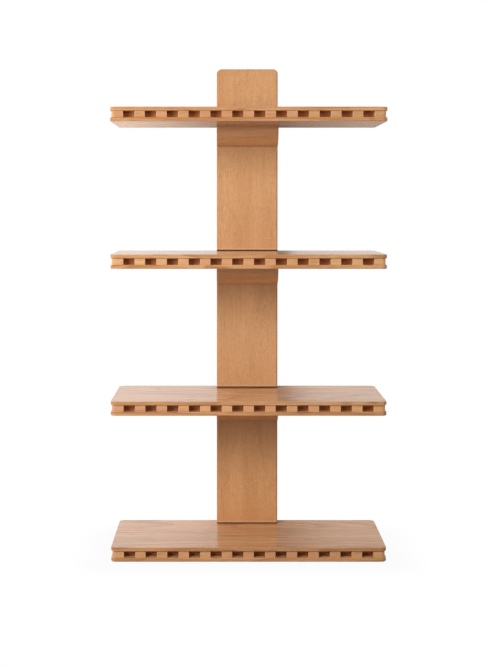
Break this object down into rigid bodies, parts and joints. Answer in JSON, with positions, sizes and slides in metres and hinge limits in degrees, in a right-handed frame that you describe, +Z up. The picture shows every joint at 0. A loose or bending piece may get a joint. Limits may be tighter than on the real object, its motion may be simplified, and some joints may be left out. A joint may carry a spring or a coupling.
{
  "type": "bookshelf",
  "caption": "Free-standing wooden bookshelf: a narrow stacked spine at the back carries deep sandwich shelves with notched front edges and quarter-round brackets.",
  "frame": {"origin": "on the floor, under the middle of the shelves", "axes": "+Z up, +X to the right seen from the front, the front faces -Y and the flush back faces +Y"},
  "size_m": [0.85, 0.3, 1.549],
  "materials": {
    "panel_wood": "satin lacquered fine-grained veneer, honey brown",
    "bracket_wood": "satin lacquered solid wood, honey brown, grain across",
    "rail_wood": "satin lacquered solid wood, honey brown, grain along the rail",
    "core_wood": "oiled solid wood, honey brown",
    "dowel_wood": "raw beech",
    "zinc_steel": "bright zinc plate",
    "insert_brass": "plain machined brass",
    "glide_nylon": "moulded nylon, pale"
  },
  "bodies": {
    "root": {"barrel_nuts": "zinc_steel", "base_shelf_bottom_panel": "panel_wood", "base_shelf_dentil_rail": "rail_wood", "base_shelf_end_rails": "core_wood", "base_shelf_rear_rails": "core_wood", "base_shelf_ribs": "core_wood", "base_shelf_spine_block": "core_wood", "base_shelf_top_panel": "panel_wood", "bracket_side_dowels": "dowel_wood", "bracket_top_dowels": "dowel_wood", "floor_glides": "glide_nylon", "glide_screws": "zinc_steel", "lower_bracket": "bracket_wood", "lower_shelf_bottom_panel": "panel_wood", "lower_shelf_dentil_rail": "rail_wood", "lower_shelf_end_rails": "core_wood", "lower_shelf_rear_rails": "core_wood", "lower_shelf_ribs": "core_wood", "lower_shelf_spine_block": "core_wood", "lower_shelf_top_panel": "panel_wood", "lower_spine_back_panel": "panel_wood", "lower_spine_centre_stile": "core_wood", "lower_spine_edge_stiles": "core_wood", "lower_spine_front_panel": "panel_wood", "middle_bracket": "bracket_wood", "middle_spine_back_panel": "panel_wood", "middle_spine_centre_stile": "core_wood", "middle_spine_edge_stiles": "core_wood", "middle_spine_front_panel": "panel_wood", "rod_nuts": "zinc_steel", "rod_washers": "zinc_steel", "shelf_top_dowels": "dowel_wood", "shelf_underside_dowels": "dowel_wood", "stub_back_panel": "panel_wood", "stub_core": "core_wood", "stub_front_panel": "panel_wood", "tie_rods": "zinc_steel", "top_shelf_bottom_panel": "panel_wood", "top_shelf_dentil_rail": "rail_wood", "top_shelf_end_rails": "core_wood", "top_shelf_rear_rails": "core_wood", "top_shelf_ribs": "core_wood", "top_shelf_spine_block": "core_wood", "top_shelf_top_panel": "panel_wood", "upper_bracket": "bracket_wood", "upper_shelf_bottom_panel": "panel_wood", "upper_shelf_dentil_rail": "rail_wood", "upper_shelf_end_rails": "core_wood", "upper_shelf_rear_rails": "core_wood", "upper_shelf_ribs": "core_wood", "upper_shelf_spine_block": "core_wood", "upper_shelf_top_panel": "panel_wood", "upper_spine_back_panel": "panel_wood", "upper_spine_centre_stile": "core_wood", "upper_spine_edge_stiles": "core_wood", "upper_spine_front_panel": "panel_wood", "wall_inserts": "insert_brass"}
  },
  "joints": []
}
